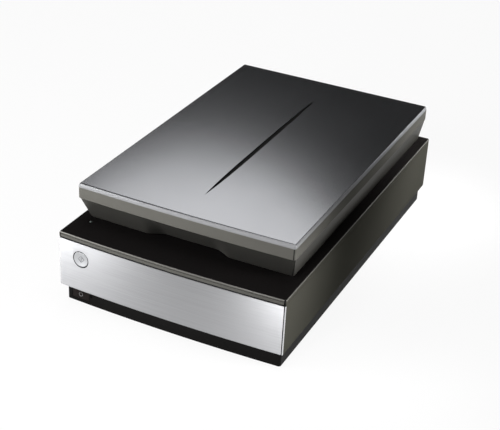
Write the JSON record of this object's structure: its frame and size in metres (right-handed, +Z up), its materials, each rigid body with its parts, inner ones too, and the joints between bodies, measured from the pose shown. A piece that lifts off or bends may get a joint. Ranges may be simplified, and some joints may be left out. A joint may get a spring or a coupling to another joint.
{
  "type": "flatbed scanner",
  "caption": "Flatbed photo scanner with a bowed silver front panel, a hinged dark lid holding a transparency light, round scan button and power key",
  "frame": {"origin": "bottom centre of the base, on the ground between the rubber feet", "axes": "+Z up, front panel faces -Y, +X to the right seen from the front"},
  "size_m": [0.308, 0.503, 0.1535],
  "materials": {
    "black_shell": "satin moulded plastic, fine grain",
    "grey_shell": "satin moulded plastic with a low sheen",
    "silver_panel": "brushed and clear anodised sheet",
    "silver_button": "metallic painted plastic",
    "bright_steel": "plain zinc plated or ground steel",
    "bronze": "sintered bronze, plain",
    "clear_glass": "flat float glass, polished",
    "diffuser": "opal acrylic sheet",
    "white_plastic": "white matt foam and film",
    "nylon": "natural acetal, satin",
    "circuit_green": "solder mask over glass epoxy",
    "soft_rubber": "matt black rubber",
    "lamp_tube": "phosphor coated lamp tube",
    "front_mirror": "front silvered mirror strip",
    "light_lens": "clear tinted light lens"
  },
  "bodies": {
    "base": {"lower_housing": "black_shell", "deck_frame": "black_shell", "side_cover_left": "grey_shell", "side_cover_right": "grey_shell", "rear_cover": "grey_shell", "front_panel": "silver_panel", "panel_carrier": "black_shell", "rubber_feet": "soft_rubber", "base_screws": "bright_steel", "platen_glass": "clear_glass", "calibration_strip": "white_plastic", "status_light": "light_lens", "button_board": "circuit_green", "power_switch": "nylon", "guide_rod": "bright_steel", "slide_rail": "bright_steel", "scan_motor": "bright_steel", "motor_bracket": "bright_steel", "axle_pins": "bright_steel", "idler_bracket": "bright_steel", "tension_spring": "bright_steel", "drive_belt": "soft_rubber", "main_board": "circuit_green", "usb_socket": "bright_steel", "power_inlet": "black_shell", "lid_socket": "black_shell", "hinge_guides": "black_shell"},
    "scan_button": {"start_button": "silver_button"},
    "power_key": {"power_button": "black_shell"},
    "lock_slider": {"transport_lock": "nylon"},
    "pinion": {"motor_pinion": "bright_steel"},
    "gear": {"drive_gear": "nylon"},
    "idler": {"idler_pulley": "nylon"},
    "scan_carriage": {"carriage_body": "black_shell", "carriage_top": "black_shell", "scan_lamps": "lamp_tube", "mirrors": "front_mirror", "lens_barrel": "black_shell", "sensor_board": "circuit_green", "rod_bushes": "bronze", "belt_clamp": "nylon"},
    "hinge_posts": {"hinge_post_left": "grey_shell", "hinge_post_right": "grey_shell"},
    "lid": {"lid_cover": "grey_shell", "lid_skirt": "grey_shell", "slit_insert": "black_shell", "lid_window": "diffuser", "lid_bumpers": "soft_rubber", "lid_screws": "bright_steel", "hinge_brackets": "bright_steel", "hinge_pins": "bright_steel", "lid_rod": "bright_steel", "lid_motor": "bright_steel", "lid_belt": "soft_rubber"},
    "lid_carriage": {"lamp_carriage": "black_shell", "lid_lamp": "lamp_tube"},
    "lid_pulley": {"lid_drive_pulley": "nylon"},
    "lid_idler": {"lid_idler_pulley": "nylon"},
    "mat": {"document_mat": "white_plastic"}
  },
  "joints": [
    {"name": "scan_button_press", "type": "slide", "parent": "base", "child": "scan_button", "axis": [0, 1, 0], "range_m": [0, 0.0012], "stiffness_N_per_m": 400, "springref_m": -0.001},
    {"name": "power_press", "type": "slide", "parent": "base", "child": "power_key", "axis": [0, 1, 0], "range_m": [0, 0.0012], "stiffness_N_per_m": 400, "springref_m": -0.001},
    {"name": "lock_slide", "type": "slide", "parent": "base", "child": "lock_slider", "axis": [1, 0, 0], "range_m": [0, 0.008]},
    {"name": "carriage_slide", "type": "slide", "parent": "base", "child": "scan_carriage", "axis": [0, 1, 0], "range_m": [0, 0.304]},
    {"name": "gear_spin", "type": "hinge", "parent": "base", "child": "gear", "pos_m": [-0.07, 0.224, 0.012], "axis": [0, 0, 1], "continuous": true},
    {"name": "pinion_spin", "type": "hinge", "parent": "base", "child": "pinion", "pos_m": [-0.0508, 0.224, 0.009], "axis": [0, 0, 1], "continuous": true},
    {"name": "idler_spin", "type": "hinge", "parent": "base", "child": "idler", "pos_m": [-0.07, -0.226, 0.012], "axis": [0, 0, 1], "continuous": true},
    {"name": "lid_lift", "type": "slide", "parent": "base", "child": "hinge_posts", "axis": [0, 0, 1], "range_m": [0, 0.025]},
    {"name": "lid_hinge", "type": "hinge", "parent": "hinge_posts", "child": "lid", "pos_m": [0, 0.2395, 0.1111], "axis": [-1, 0, 0], "range_deg": [0, 85]},
    {"name": "lamp_slide", "type": "slide", "parent": "lid", "child": "lid_carriage", "axis": [0, 1, 0], "range_m": [0, 0.262]},
    {"name": "lid_pulley_spin", "type": "hinge", "parent": "lid", "child": "lid_pulley", "pos_m": [-0.08, 0.212, 0.13], "axis": [0, 0, 1], "continuous": true},
    {"name": "lid_idler_spin", "type": "hinge", "parent": "lid", "child": "lid_idler", "pos_m": [-0.08, -0.1745, 0.13], "axis": [0, 0, 1], "continuous": true},
    {"name": "mat_slide", "type": "slide", "parent": "lid", "child": "mat", "axis": [0, 1, 0], "range_m": [0, 0.01]}
  ],
  "couplings": [
    {"joint": "gear_spin", "follows": "carriage_slide", "rad_per_m": -112.36},
    {"joint": "pinion_spin", "follows": "carriage_slide", "rad_per_m": 337.08},
    {"joint": "idler_spin", "follows": "carriage_slide", "rad_per_m": -112.36},
    {"joint": "lid_pulley_spin", "follows": "lamp_slide", "rad_per_m": 144.93},
    {"joint": "lid_idler_spin", "follows": "lamp_slide", "rad_per_m": 144.93}
  ]
}
